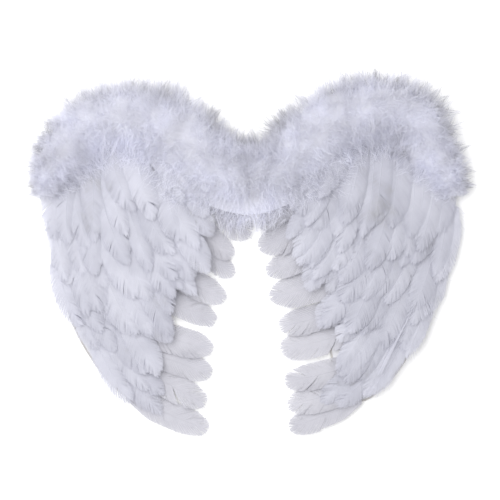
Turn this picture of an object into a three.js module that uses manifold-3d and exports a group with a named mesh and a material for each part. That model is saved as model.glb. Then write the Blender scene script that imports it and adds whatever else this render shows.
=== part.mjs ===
// Feathered costume wings that lie face up: one stiff panel with a wired rim and two elastic
// shoulder straps behind it, loose flight feathers along the trailing edges, shingled rows of
// covert feathers over them, and a fluffy down trim along the top.
// Millimetres. +X runs across the wings, +Y towards their top, +Z out of the feathered face.

import * as THREE from "three";
import { mergeVertices } from "three/addons/utils/BufferGeometryUtils.js";
import Module from "manifold-3d";

const wasm = await Module();
wasm.setup();

// Overall size. Shares named "out" are of the half span, and shares named "up" are of the height.
const HALF_SPAN = 275;
const HEIGHT = 451;

// Panel, with a wire sewn into its rim
const PANEL_THICKNESS = 2;
const RIM_DIAMETER = 3.7;
const RIM_SIDES = 6;
const PANEL_POINTS = 44;

// Elastic shoulder straps, flat between the panel and the ground
const STRAP_WIDTH = 10;
const STRAP_THICKNESS = 1.2;
const STRAP_POINTS = 14;

// Clearances
const SEAT_GAP = 0.3;
const LAYER_GAP = 0.4;
const TRIM_GAP = 1;

// Corners of a joined solid that lie this close are one corner.
const WELD = 0.02;

// Flight feathers
const FLIGHT = { length: 110, width: 30, thickness: 1.2, crown: 0.5, roll: 0.11, bend: 8 };

const WIDEST_FLIGHT = 1.1;

// Covert feathers, in shingled rows
const COVERT = { length: 104, width: 31, thickness: 1.2, crown: 0.6, roll: 0.06, bend: 10 };
const SHORTEST_COVERT = 60;
const COVERT_TRIM_STEP = 2;
const COVERT_SPACING = 23.4;
const FEWEST_IN_ROW = 2;
const ROW_SPACING = 48;
const ROW_COUNT = 6;
const FIRST_ROW_DOWN = 82;
const STRIP_WIDTH = 7;
const STRIP_ABOVE_QUILLS = 1;
const STRIP_OVERHANG = 2;

// Rows rise towards the trailing edge and dip at the outer edge, this far and this steeply.
const ROW_RISE = 235;
const ROW_RISE_POWER = 3.8;
const ROW_DIP = 34;
const ROW_DIP_POWER = 3;

// Down trim
const TRIM_HEIGHT = 34;
const TRIM_SECTIONS = 14;
const TRIM_SIDES = 10;
const TRIM_TUCK = 0.3;
const TRIM_MARGIN = 26;
const LOCK_LENGTH = 24;
const LOCK_RADIUS = 14;
const LOCK_ROOT = 0.72;
const LOCK_SIDES = 5;
const LOCK_SWEEP = 0.8;
const LOCK_SPACING = 31;

const PANEL_OUTLINE = [
  { out: 0.122, up: 0.819 },
  { out: 0.266, up: 0.863 },
  { out: 0.423, up: 0.909 },
  { out: 0.59, up: 0.923 },
  { out: 0.752, up: 0.89 },
  { out: 0.865, up: 0.813 },
  { out: 0.905, up: 0.709 },
  { out: 0.883, up: 0.599 },
  { out: 0.847, up: 0.478 },
  { out: 0.825, up: 0.368 },
  { out: 0.775, up: 0.28 },
  { out: 0.7, up: 0.203 },
  { out: 0.61, up: 0.135 },
  { out: 0.5, up: 0.095 },
  { out: 0.405, up: 0.132 },
  { out: 0.374, up: 0.231 },
  { out: 0.356, up: 0.341 },
  { out: 0.311, up: 0.462 },
  { out: 0.221, up: 0.571 },
  { out: 0.108, up: 0.65 },
];
const BRIDGE = { top: 0.797, bottom: 0.668 };

const STRAP_ROUTE = [
  { out: 0.036, up: 0.769 },
  { out: 0.153, up: 0.786 },
  { out: 0.311, up: 0.797 },
  { out: 0.437, up: 0.764 },
  { out: 0.482, up: 0.69 },
  { out: 0.423, up: 0.63 },
  { out: 0.288, up: 0.645 },
  { out: 0.153, up: 0.69 },
  { out: 0.036, up: 0.71 },
];

// Each wing: where its feathers' middle lines end at the outer and trailing edges by height, its
// flight feathers by where the tip lies, how far out no covert's tip covers them, the lean of its
// feathers from straight down towards the middle, and the middle line of its down trim. Lengths
// and widths are shares.
const WINGS = {
  left: {
    side: -1,
    limits: [
      { up: 0.93, outer: 0.75, inner: 0 },
      { up: 0.83, outer: 0.87, inner: 0 },
      { up: 0.72, outer: 0.9, inner: 0.02 },
      { up: 0.6, outer: 0.87, inner: 0.05 },
      { up: 0.5, outer: 0.84, inner: 0.09 },
      { up: 0.4, outer: 0.81, inner: 0.12 },
      { up: 0.3, outer: 0.74, inner: 0.165 },
      { up: 0.2, outer: 0.64, inner: 0.176 },
      { up: 0.12, outer: 0.52, inner: 0.2 },
      { up: 0.05, outer: 0.37, inner: 0.21 },
      { up: 0, outer: 0.3, inner: 0.23 },
    ],
    bare: [
      { up: 0.5, out: 0.07 },
      { up: 0.42, out: 0.2 },
      { up: 0.36, out: 0.3 },
      { up: 0.26, out: 0.36 },
      { up: 0.2, out: 0.41 },
      { up: 0.1, out: 0.46 },
    ],
    flights: [
      { out: 0.014, up: 0.552, lean: 38, long: 0.6, wide: 1.05 },
      { out: 0.09, up: 0.498, lean: 45, long: 0.72, wide: 0.8 },
      { out: 0.081, up: 0.45, lean: 52, long: 0.85, wide: 0.85 },
      { out: 0.126, up: 0.376, lean: 60, long: 0.9, wide: 0.95 },
      { out: 0.167, up: 0.318, lean: 63, long: 0.95, wide: 0.9 },
      { out: 0.18, up: 0.24, lean: 74, long: 1, wide: 1 },
      { out: 0.185, up: 0.175, lean: 70, long: 1, wide: 0.95 },
      { out: 0.212, up: 0.093, lean: 60, long: 1.05, wide: 1 },
      { out: 0.203, up: 0.02, lean: 66, long: 1.05, wide: 1.1 },
    ],
    leans: [
      { up: 0.8, outer: 4, middle: 22, inner: 42 },
      { up: 0.6, outer: 9, middle: 26, inner: 48 },
      { up: 0.4, outer: 24, middle: 34, inner: 55 },
      { up: 0.25, outer: 38, middle: 46, inner: 64 },
      { up: 0.05, outer: 50, middle: 58, inner: 66 },
    ],
    trim: [
      { out: -0.08, up: 0.715, half: 0.16 },
      { out: 0.03, up: 0.72, half: 0.165 },
      { out: 0.13, up: 0.742, half: 0.168 },
      { out: 0.243, up: 0.785, half: 0.175 },
      { out: 0.365, up: 0.84, half: 0.155 },
      { out: 0.491, up: 0.868, half: 0.15 },
      { out: 0.626, up: 0.872, half: 0.132 },
      { out: 0.761, up: 0.843, half: 0.12 },
      { out: 0.852, up: 0.784, half: 0.1 },
      { out: 0.902, up: 0.72, half: 0.075 },
      { out: 0.918, up: 0.66, half: 0.035 },
    ],
  },
  right: {
    side: 1,
    limits: [
      { up: 0.93, outer: 0.78, inner: 0 },
      { up: 0.83, outer: 0.88, inner: 0 },
      { up: 0.72, outer: 0.95, inner: 0.02 },
      { up: 0.6, outer: 0.93, inner: 0.05 },
      { up: 0.5, outer: 0.9, inner: 0.09 },
      { up: 0.4, outer: 0.85, inner: 0.12 },
      { up: 0.3, outer: 0.76, inner: 0.15 },
      { up: 0.2, outer: 0.64, inner: 0.165 },
      { up: 0.12, outer: 0.54, inner: 0.19 },
      { up: 0.05, outer: 0.42, inner: 0.2 },
      { up: 0, outer: 0.32, inner: 0.22 },
    ],
    bare: [
      { up: 0.5, out: 0.07 },
      { up: 0.42, out: 0.24 },
      { up: 0.36, out: 0.3 },
      { up: 0.3, out: 0.32 },
      { up: 0.25, out: 0.4 },
      { up: 0.1, out: 0.44 },
    ],
    flights: [
      { out: 0.062, up: 0.582, lean: 56, long: 0.55, wide: 0.75 },
      { out: 0.06, up: 0.52, lean: 64, long: 0.8, wide: 1 },
      { out: 0.092, up: 0.455, lean: 66, long: 0.9, wide: 0.95 },
      { out: 0.11, up: 0.383, lean: 74, long: 1, wide: 1.1 },
      { out: 0.155, up: 0.302, lean: 74, long: 1, wide: 0.95 },
      { out: 0.16, up: 0.236, lean: 74, long: 1, wide: 1 },
      { out: 0.178, up: 0.15, lean: 76, long: 1, wide: 0.95 },
      { out: 0.19, up: 0.086, lean: 74, long: 1.05, wide: 1 },
      { out: 0.198, up: 0.024, lean: 68, long: 0.92, wide: 1.05 },
    ],
    leans: [
      { up: 0.8, outer: 4, middle: 14, inner: 46 },
      { up: 0.6, outer: 8, middle: 24, inner: 58 },
      { up: 0.4, outer: 20, middle: 38, inner: 64 },
      { up: 0.25, outer: 34, middle: 50, inner: 70 },
      { up: 0.05, outer: 48, middle: 60, inner: 68 },
    ],
    trim: [
      { out: -0.08, up: 0.715, half: 0.16 },
      { out: 0.03, up: 0.72, half: 0.165 },
      { out: 0.13, up: 0.738, half: 0.155 },
      { out: 0.239, up: 0.782, half: 0.168 },
      { out: 0.365, up: 0.849, half: 0.15 },
      { out: 0.5, up: 0.888, half: 0.152 },
      { out: 0.644, up: 0.897, half: 0.14 },
      { out: 0.762, up: 0.862, half: 0.122 },
      { out: 0.85, up: 0.79, half: 0.09 },
      { out: 0.905, up: 0.725, half: 0.07 },
      { out: 0.932, up: 0.66, half: 0.035 },
    ],
  },
};

// Outline of a feather's vane from quill to tip, as shares of its length and width
const VANE = [
  { along: 0, wide: 0.3 },
  { along: 0.15, wide: 0.7 },
  { along: 0.4, wide: 0.95 },
  { along: 0.7, wide: 1 },
  { along: 0.9, wide: 0.68 },
  { along: 1, wide: 0.18 },
];

const PANEL_BACK = STRAP_THICKNESS + SEAT_GAP;
const PANEL_FACE = PANEL_BACK + PANEL_THICKNESS;
const FEATHER_FLOOR = Math.max(PANEL_FACE, RIM_DIAMETER) + SEAT_GAP;
const radians = THREE.MathUtils.degToRad;
const lerp = THREE.MathUtils.lerp;
const smoothstep = THREE.MathUtils.smoothstep;

const materials = {
  felt: new THREE.MeshStandardMaterial({ color: 0xe9e9ec, roughness: 0.95, metalness: 0 }),
  elastic: new THREE.MeshStandardMaterial({ color: 0xf2f2f4, roughness: 0.8, metalness: 0 }),
  feather: new THREE.MeshStandardMaterial({ color: 0xe2e3ee, roughness: 0.75, metalness: 0 }),
  down: new THREE.MeshStandardMaterial({ color: 0xe6e7f2, roughness: 1, metalness: 0 }),
};

// Points and tables

function place(side, out, up) {
  return new THREE.Vector2(side * out * HALF_SPAN, (up - 0.5) * HEIGHT);
}

// A column of a table whose rows are sorted by another column, read between its rows
function readTable(rows, key, column, value) {
  const sorted = [...rows].sort((a, b) => a[key] - b[key]);
  if (value <= sorted[0][key]) return sorted[0][column];
  const next = sorted.findIndex((row) => row[key] >= value);
  if (next < 0) return sorted.at(-1)[column];
  const [low, high] = [sorted[next - 1], sorted[next]];
  return lerp(low[column], high[column], (value - low[key]) / (high[key] - low[key]));
}

const upOf = (point) => point.y / HEIGHT + 0.5;
const outOf = (wing, point) => (wing.side * point.x) / HALF_SPAN;

// How far a point is from a wing's outer edge, 0, to its trailing edge, 1
function acrossOf(wing, point) {
  const up = upOf(point);
  const outer = readTable(wing.limits, "up", "outer", up);
  const inner = readTable(wing.limits, "up", "inner", up);
  return (outer - outOf(wing, point)) / (outer - inner);
}

function leanAt(wing, across, up) {
  const [outer, middle, inner] = ["outer", "middle", "inner"].map((column) =>
    readTable(wing.leans, "up", column, up),
  );
  return across < 0.5 ? lerp(outer, middle, across * 2) : lerp(middle, inner, across * 2 - 1);
}

// Surfaces that the feathers lie on

function rowRise(across) {
  const share = THREE.MathUtils.clamp(across, 0, 1);
  return ROW_RISE * share ** ROW_RISE_POWER - ROW_DIP * (1 - share) ** ROW_DIP_POWER;
}

// How many rows a point lies below the top row's quills
function rowsDown(wing, point) {
  const down = HEIGHT / 2 - point.y;
  const rise = rowRise(acrossOf(wing, point));
  return (down + rise - FIRST_ROW_DOWN) / ROW_SPACING;
}

// The height that one layer of feathers takes up
function layerHeight(kind) {
  const tilt = kind.roll * kind.width;
  return Math.max(tilt, tilt / 2 + kind.crown + kind.thickness);
}

const FLIGHT_LIFT = layerHeight(FLIGHT) * WIDEST_FLIGHT + LAYER_GAP;
const ROW_LIFT = layerHeight(COVERT) + LAYER_GAP;

// The coverts climb over the quills of the flight feathers, which start along this line.
const FLIGHT_ZONE = { topRow: 1.6, topAcross: 0.42, lastRow: 5, lastAcross: -0.2 };
const FLIGHT_ZONE_RAMP = { rows: 1, across: 0.2 };

function flightLift(wing, point) {
  const rows = rowsDown(wing, point);
  const share = (rows - FLIGHT_ZONE.topRow) / (FLIGHT_ZONE.lastRow - FLIGHT_ZONE.topRow);
  const edge = lerp(FLIGHT_ZONE.topAcross, FLIGHT_ZONE.lastAcross, share);
  const down = smoothstep(rows, FLIGHT_ZONE.topRow - FLIGHT_ZONE_RAMP.rows, FLIGHT_ZONE.topRow);
  const in_ = smoothstep(acrossOf(wing, point), edge - FLIGHT_ZONE_RAMP.across, edge);
  return FLIGHT_LIFT * down * in_;
}

// Underside of covert row number row at a point
function rowFloor(wing, row, point) {
  const rows = Math.min(rowsDown(wing, point), ROW_COUNT - 1);
  return FEATHER_FLOOR + flightLift(wing, point) + ROW_LIFT * Math.max(0, rows - row);
}

// Solids

// A closed body through rings of equally many points, closed on itself when it is a loop
function loft(rings, loop = false) {
  const sides = rings[0].length;
  const positions = rings.flat().flatMap((p) => [p.x, p.y, p.z]);
  const index = [];
  const bands = loop ? rings.length : rings.length - 1;
  for (let i = 0; i < bands; i++) {
    const here = i * sides;
    const there = ((i + 1) % rings.length) * sides;
    for (let k = 0; k < sides; k++) {
      const next = (k + 1) % sides;
      index.push(here + k, here + next, there + next, here + k, there + next, there + k);
    }
  }
  if (!loop) {
    const last = (rings.length - 1) * sides;
    for (let k = 1; k < sides - 1; k++) {
      index.push(0, k + 1, k, last, last + k, last + k + 1);
    }
  }
  const geometry = new THREE.BufferGeometry();
  geometry.setAttribute("position", new THREE.Float32BufferAttribute(positions, 3));
  geometry.setIndex(index);
  return geometry;
}

function solidOf(geometry) {
  const bare = geometry.clone();
  bare.deleteAttribute("normal");
  bare.deleteAttribute("uv");
  const merged = mergeVertices(bare, 1e-4);
  const solid = new wasm.Manifold(
    new wasm.Mesh({
      numProp: 3,
      vertProperties: new Float32Array(merged.attributes.position.array),
      triVerts: new Uint32Array(merged.index.array),
    }),
  );
  if (solid.volume() > 0) return solid;
  const triVerts = new Uint32Array(merged.index.array).reverse();
  const vertProperties = new Float32Array(merged.attributes.position.array);
  return new wasm.Manifold(new wasm.Mesh({ numProp: 3, vertProperties, triVerts }));
}

function geometryOf(solid) {
  const { vertProperties, triVerts } = solid.getMesh();
  const geometry = new THREE.BufferGeometry();
  geometry.setAttribute("position", new THREE.BufferAttribute(vertProperties, 3));
  geometry.setIndex(new THREE.BufferAttribute(triVerts, 1));
  const welded = mergeVertices(geometry, WELD);
  const corners = Array.from(welded.index.array);
  const kept = [];
  for (let i = 0; i < corners.length; i += 3) {
    const triangle = corners.slice(i, i + 3);
    if (new Set(triangle).size === 3) kept.push(...triangle);
  }
  welded.setIndex(kept);
  welded.computeVertexNormals();
  return welded;
}

const fuse = (solids) => solids.reduce((whole, solid) => whole.add(solid));

function named(name, solid, material) {
  const mesh = new THREE.Mesh(geometryOf(solid), material);
  mesh.name = name;
  return mesh;
}

// Panel

function panelOutline() {
  const right = PANEL_OUTLINE.map(({ out, up }) => place(1, out, up));
  const left = PANEL_OUTLINE.map(({ out, up }) => place(-1, out, up)).reverse();
  const ring = [place(1, 0, BRIDGE.top), ...right, place(1, 0, BRIDGE.bottom), ...left];
  const curve = new THREE.CatmullRomCurve3(
    ring.map((p) => new THREE.Vector3(p.x, p.y, 0)),
    true,
    "centripetal",
  );
  return curve.getSpacedPoints(PANEL_POINTS).slice(0, PANEL_POINTS);
}

const OUTLINE = panelOutline();

function onPanel(point) {
  let inside = false;
  OUTLINE.forEach((a, i) => {
    const b = OUTLINE[(i + 1) % OUTLINE.length];
    const crosses = a.y > point.y !== b.y > point.y;
    if (crosses && point.x < ((b.x - a.x) * (point.y - a.y)) / (b.y - a.y) + a.x) inside = !inside;
  });
  return inside;
}

function backingPanel() {
  const shape = new THREE.Shape(OUTLINE.map((p) => new THREE.Vector2(p.x, p.y)));
  const plate = new THREE.ExtrudeGeometry(shape, {
    depth: PANEL_THICKNESS,
    bevelEnabled: false,
  }).translate(0, 0, PANEL_BACK);
  const radius = RIM_DIAMETER / 2;
  const rim = OUTLINE.map((p, i) => {
    const before = OUTLINE[(i + OUTLINE.length - 1) % OUTLINE.length];
    const after = OUTLINE[(i + 1) % OUTLINE.length];
    const along = after.clone().sub(before).normalize();
    return Array.from({ length: RIM_SIDES }, (_, k) => {
      const turn = (k / RIM_SIDES) * 2 * Math.PI;
      const flat = 1 / Math.cos(Math.PI / RIM_SIDES);
      const reach = radius * flat * Math.cos(turn);
      return new THREE.Vector3(
        p.x - along.y * reach,
        p.y + along.x * reach,
        radius + radius * flat * Math.sin(turn),
      );
    });
  });
  return solidOf(plate).add(solidOf(loft(rim, true)));
}

// Straps

function strap(side) {
  const curve = new THREE.CatmullRomCurve3(
    STRAP_ROUTE.map(({ out, up }) => {
      const p = place(side, out, up);
      return new THREE.Vector3(p.x, p.y, 0);
    }),
    false,
    "centripetal",
  );
  const edge = (offset) =>
    Array.from({ length: STRAP_POINTS + 1 }, (_, i) => {
      const p = curve.getPointAt(i / STRAP_POINTS);
      const along = curve.getTangentAt(i / STRAP_POINTS);
      return new THREE.Vector2(p.x - along.y * offset, p.y + along.x * offset);
    });
  const shape = new THREE.Shape([...edge(STRAP_WIDTH / 2), ...edge(-STRAP_WIDTH / 2).reverse()]);
  return solidOf(
    new THREE.ExtrudeGeometry(shape, { depth: STRAP_THICKNESS, bevelEnabled: false }),
  );
}

// Feathers

// A crowned vane that starts at a quill, bends towards the middle, and lies on a surface
function feather(wing, kind, { quill, lean, length, width }, floor) {
  const roll = kind.roll * wing.side;
  const centre = quill.clone();
  let reached = 0;
  const rings = VANE.map(({ along, wide }) => {
    const turn = radians(lean + kind.bend * (along - 0.5));
    const heading = new THREE.Vector2(-wing.side * Math.sin(turn), -Math.cos(turn));
    centre.addScaledVector(heading, (along - reached) * length);
    reached = along;
    const across = new THREE.Vector2(-heading.y, heading.x);
    const half = (wide * width) / 2;
    const at = (k, lift) => {
      const p = centre.clone().addScaledVector(across, k * half);
      const z = floor(p) + (kind.roll * width) / 2 + roll * k * half + lift;
      return new THREE.Vector3(p.x, p.y, z);
    };
    const ridge = kind.crown * wide + kind.thickness;
    return [at(-1, 0), at(0, kind.crown * wide), at(1, 0), at(0, ridge)];
  });
  return solidOf(loft(rings));
}

function flightFeather(wing, { out, up, lean, long, wide }) {
  const length = FLIGHT.length * long;
  const turn = radians(lean);
  const quill = place(wing.side, out, up).add(
    new THREE.Vector2(wing.side * Math.sin(turn) * length, Math.cos(turn) * length),
  );
  const size = { quill, lean, length, width: FLIGHT.width * wide };
  return feather(wing, FLIGHT, size, () => FEATHER_FLOOR);
}

// The middle line of a wing's down trim
function trimCurve(wing) {
  return new THREE.CatmullRomCurve3(
    wing.trim.map(({ out, up }) => {
      const p = place(wing.side, out, up);
      return new THREE.Vector3(p.x, p.y, 0);
    }),
    false,
    "centripetal",
  );
}

// Half the trim's width at a share of its point list
function trimHalf(wing, share) {
  const rows = wing.trim.map(({ half }, i) => ({ share: i / (wing.trim.length - 1), half }));
  return readTable(rows, "share", "half", share) * HALF_SPAN;
}

function underTrim(wing, curve, point) {
  for (let i = 0; i <= TRIM_SECTIONS * 2; i++) {
    const share = i / (TRIM_SECTIONS * 2);
    const p = curve.getPoint(share);
    if (Math.hypot(p.x - point.x, p.y - point.y) < trimHalf(wing, share) * TRIM_TUCK) return true;
  }
  return false;
}

// Coverts of a row, evenly spaced along its line, with quills on the panel and clear of the trim.
// A row that is too short for a tape with its fewest quills has none.
function rowCoverts(wing, row) {
  const curve = trimCurve(wing);
  const steps = 300;
  const coverts = [];
  let since = COVERT_SPACING;
  let last = null;
  for (let i = 0; i <= steps; i++) {
    const across = i / steps;
    const down = FIRST_ROW_DOWN + row * ROW_SPACING - rowRise(across);
    const up = 1 - down / HEIGHT;
    const outer = readTable(wing.limits, "up", "outer", up);
    const inner = readTable(wing.limits, "up", "inner", up);
    const out = lerp(outer, inner, across);
    const point = place(wing.side, out, up);
    if (last) since += point.distanceTo(last);
    last = point;
    if (since < COVERT_SPACING || !onPanel(point) || underTrim(wing, curve, point)) continue;
    const covert = covertAt(wing, point);
    if (!covert) continue;
    coverts.push(covert);
    since = 0;
  }
  return coverts.length < FEWEST_IN_ROW ? [] : coverts;
}

// A covert's tip stays this far inside the ends of the flight feathers.
const COVERT_ACROSS_LIMIT = 0.86;
const COVERT_UP_LIMIT = 0.06;

function covertAt(wing, quill) {
  const lean = leanAt(wing, acrossOf(wing, quill), upOf(quill));
  const turn = radians(lean);
  const heading = new THREE.Vector2(-wing.side * Math.sin(turn), -Math.cos(turn));
  for (let length = COVERT.length; length >= SHORTEST_COVERT; length -= COVERT_TRIM_STEP) {
    const tip = quill.clone().addScaledVector(heading, length);
    const bare = readTable(wing.bare, "up", "out", upOf(tip));
    const inside = acrossOf(wing, tip) < COVERT_ACROSS_LIMIT && outOf(wing, tip) > bare;
    if (inside && upOf(tip) > COVERT_UP_LIMIT) return { quill, lean, length, width: COVERT.width };
  }
  return null;
}

// Top of the coverts of all rows that pass near a point, or 0
function coverTop(wing, rows, point) {
  const tops = rows.flatMap((coverts, row) => {
    const passes = coverts.some(({ quill, lean, length, width }) => {
      const turn = radians(lean);
      const heading = new THREE.Vector2(-wing.side * Math.sin(turn), -Math.cos(turn));
      const from = point.clone().sub(quill);
      const along = THREE.MathUtils.clamp(from.dot(heading), 0, length);
      return from.addScaledVector(heading, -along).length() < width / 2 + TRIM_MARGIN;
    });
    return passes ? [rowFloor(wing, row, point) + layerHeight(COVERT)] : [];
  });
  return Math.max(0, ...tops);
}

function covertRow(wing, coverts, row) {
  const floor = (p) => rowFloor(wing, row, p);
  const vanes = coverts.map((covert) => feather(wing, COVERT, covert, floor));
  const quills = coverts.map(({ quill }) => quill);
  return fuse([glueStrip(wing, quills, floor), ...vanes]);
}

// The tape that a row's quills are glued to
function glueStrip(wing, quills, floor) {
  const thickness = (COVERT.roll * COVERT.width) / 2 + COVERT.thickness * 0.7;
  const rings = quills.map((quill, i) => {
    const before = quills[Math.max(0, i - 1)];
    const after = quills[Math.min(quills.length - 1, i + 1)];
    const along = after.clone().sub(before).normalize();
    const end = i === 0 ? -1 : i === quills.length - 1 ? 1 : 0;
    const centre = quill.clone().addScaledVector(along, end * STRIP_OVERHANG);
    const across = new THREE.Vector2(-along.y, along.x).multiplyScalar(-wing.side);
    const near = centre.clone().addScaledVector(across, -STRIP_ABOVE_QUILLS);
    const far = centre.clone().addScaledVector(across, STRIP_WIDTH - STRIP_ABOVE_QUILLS);
    const corner = (p, z) => new THREE.Vector3(p.x, p.y, floor(p) + z);
    return [corner(near, 0), corner(far, 0), corner(far, thickness), corner(near, thickness)];
  });
  return solidOf(loft(rings));
}

// Down trim

function downTrim(wing, rows) {
  const curve = trimCurve(wing);
  const low = FEATHER_FLOOR;
  const sizeAt = (half) => Math.min(1, 0.35 + (0.65 * half) / (0.12 * HALF_SPAN));
  const heightAt = (half) => TRIM_HEIGHT * sizeAt(half);
  const frame = (share) => {
    const p = curve.getPoint(share);
    const along = curve.getTangent(share);
    const outward = new THREE.Vector2(wing.side * -along.y, wing.side * along.x);
    return { p, along, outward, half: trimHalf(wing, share) };
  };
  const rings = Array.from({ length: TRIM_SECTIONS + 1 }, (_, i) => {
    const { p, outward, half } = frame(i / TRIM_SECTIONS);
    const puff = 1 + 0.05 * (i % 2 ? 1 : -1);
    const height = heightAt(half) * puff;
    return Array.from({ length: TRIM_SIDES }, (_, k) => {
      const turn = (k / TRIM_SIDES) * 2 * Math.PI;
      const reach = half * puff * Math.cos(turn);
      const q = new THREE.Vector2(p.x + outward.x * reach, p.y + outward.y * reach);
      const floor = Math.max(low, coverTop(wing, rows, q) + TRIM_GAP);
      return new THREE.Vector3(q.x, q.y, Math.max(floor, low + (height / 2) * (1 + Math.sin(turn))));
    });
  });
  const core = solidOf(loft(rings));
  const count = Math.floor(curve.getLength() / LOCK_SPACING);
  const locks = [];
  for (let i = 0; i < count; i++) {
    const share = (i + 0.5) / count;
    const { p, along, outward, half } = frame(share);
    const height = heightAt(half);
    const sweep = LOCK_SWEEP * (i % 2 ? 1 : -0.4);
    const size = sizeAt(half);
    for (const [turn, long] of lockFan(i)) {
      const reach = half * LOCK_ROOT * Math.cos(turn);
      const root = new THREE.Vector3(
        p.x + outward.x * reach,
        p.y + outward.y * reach,
        low + (height / 2) * (1 + LOCK_ROOT * Math.sin(turn)),
      );
      const heading = new THREE.Vector3(
        outward.x * Math.cos(turn) + along.x * sweep,
        outward.y * Math.cos(turn) + along.y * sweep,
        Math.sin(turn) * 0.5,
      ).normalize();
      locks.push(lock(root, heading, LOCK_LENGTH * long * size, LOCK_RADIUS * size));
    }
  }
  const whole = fuse([core, ...locks]);
  const other = new THREE.BoxGeometry(HALF_SPAN, HEIGHT, TRIM_HEIGHT * 3);
  other.translate((-wing.side * (HALF_SPAN - SEAT_GAP)) / 2, 0, TRIM_HEIGHT);
  return whole.subtract(solidOf(other));
}

// Directions round the trim's section, and lengths, of the locks at one place along it
function lockFan(i) {
  return i % 2
    ? [
        [radians(6), 1],
        [radians(70), 0.8],
        [radians(145), 0.9],
      ]
    : [
        [radians(28), 0.9],
        [radians(115), 0.8],
      ];
}

function lock(root, heading, length, radius) {
  const side = new THREE.Vector3(0, 0, 1).cross(heading);
  if (side.length() < 0.1) side.set(1, 0, 0);
  side.normalize();
  const lift = heading.clone().cross(side);
  const rings = [
    [0, 1],
    [0.5, 0.7],
    [1, 0.12],
  ].map(([along, thick]) =>
    Array.from({ length: LOCK_SIDES }, (_, k) => {
      const turn = ((k + 0.5) / LOCK_SIDES) * 2 * Math.PI;
      return root
        .clone()
        .addScaledVector(heading, along * length)
        .addScaledVector(side, radius * thick * Math.cos(turn))
        .addScaledVector(lift, radius * thick * Math.sin(turn));
    }),
  );
  return solidOf(loft(rings));
}

// Assembly

const wings = new THREE.Group();
wings.add(named("backing_panel", backingPanel(), materials.felt));
for (const [name, wing] of Object.entries(WINGS)) {
  wings.add(named(`strap_${name}`, strap(wing.side), materials.elastic));
  wing.flights.forEach((flight, i) => {
    const solid = flightFeather(wing, flight);
    wings.add(named(`flight_feather_${name}_${i + 1}`, solid, materials.feather));
  });
  const rows = Array.from({ length: ROW_COUNT }, (_, row) => rowCoverts(wing, row));
  rows.forEach((coverts, row) => {
    if (coverts.length === 0) return;
    const solid = covertRow(wing, coverts, row);
    wings.add(named(`covert_row_${name}_${row + 1}`, solid, materials.feather));
  });
  wings.add(named(`down_trim_${name}`, downTrim(wing, rows), materials.down));
}

// The origin is below the middle of the whole, on the ground.
const box = new THREE.Box3().setFromObject(wings);
const middle = box.getCenter(new THREE.Vector3());
wings.position.set(-middle.x, -middle.y, -box.min.z);

export default wings;
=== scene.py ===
"""White feathered costume wings that lie face up on a pale floor."""

import math

import bpy
import numpy as np
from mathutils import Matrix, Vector
from mathutils.geometry import tessellate_polygon


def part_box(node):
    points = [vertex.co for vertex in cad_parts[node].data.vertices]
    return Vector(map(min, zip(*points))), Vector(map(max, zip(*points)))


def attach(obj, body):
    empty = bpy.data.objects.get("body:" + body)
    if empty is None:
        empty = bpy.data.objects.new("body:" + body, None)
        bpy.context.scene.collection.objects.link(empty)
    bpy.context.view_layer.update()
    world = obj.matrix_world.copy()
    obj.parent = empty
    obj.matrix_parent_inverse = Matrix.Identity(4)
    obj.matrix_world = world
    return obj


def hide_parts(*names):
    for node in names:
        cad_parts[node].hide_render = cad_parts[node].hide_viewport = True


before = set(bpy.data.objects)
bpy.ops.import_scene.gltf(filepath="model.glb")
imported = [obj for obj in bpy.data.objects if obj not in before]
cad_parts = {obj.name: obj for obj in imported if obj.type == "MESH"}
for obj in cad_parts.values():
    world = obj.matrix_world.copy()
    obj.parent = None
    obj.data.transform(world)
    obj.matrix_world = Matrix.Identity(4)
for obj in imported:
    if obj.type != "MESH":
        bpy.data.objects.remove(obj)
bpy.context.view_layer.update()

# Sizes of the solids, in millimetres
HALF_SPAN = 275.0
HEIGHT = 451.0
PANEL_THICKNESS = 2.0
RIM_DIAMETER = 3.7
STRAP_WIDTH = 10.0
STRAP_THICKNESS = 1.2
SEAT_GAP = 0.3
LAYER_GAP = 0.4
FLIGHT = dict(length=110.0, width=30.0, thickness=1.2, crown=0.5, roll=0.11, bend=8.0)
COVERT = dict(length=104.0, width=31.0, thickness=1.2, crown=0.6, roll=0.06, bend=10.0)
WIDEST_FLIGHT = 1.1
SHORTEST_COVERT = 60.0
COVERT_SPACING = 23.4
ROW_SPACING = 48.0
ROW_COUNT = 6
FIRST_ROW_DOWN = 82.0
ROW_RISE, ROW_RISE_POWER = 235.0, 3.8
ROW_DIP, ROW_DIP_POWER = 34.0, 3.0
TRIM_HEIGHT = 34.0
TRIM_TUCK = 0.3
COVERT_ACROSS_LIMIT, COVERT_UP_LIMIT = 0.86, 0.06
COVERT_TRIM_STEP = 2
ZONE = dict(top_row=1.6, top_across=0.42, last_row=5.0, last_across=-0.2, ramp_rows=1.0, ramp_across=0.2)

# Tables of shares: out is of the half span, up is of the height, half is of the half span.
PANEL_OUTLINE = [
    (0.122, 0.819), (0.266, 0.863), (0.423, 0.909), (0.59, 0.923), (0.752, 0.89), (0.865, 0.813),
    (0.905, 0.709), (0.883, 0.599), (0.847, 0.478), (0.825, 0.368), (0.775, 0.28), (0.7, 0.203),
    (0.61, 0.135), (0.5, 0.095), (0.405, 0.132), (0.374, 0.231), (0.356, 0.341), (0.311, 0.462),
    (0.221, 0.571), (0.108, 0.65),
]
BRIDGE_TOP, BRIDGE_BOTTOM = 0.797, 0.668
STRAP_ROUTE = [
    (0.036, 0.769), (0.153, 0.786), (0.311, 0.797), (0.437, 0.764), (0.482, 0.69),
    (0.423, 0.63), (0.288, 0.645), (0.153, 0.69), (0.036, 0.71),
]
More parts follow.
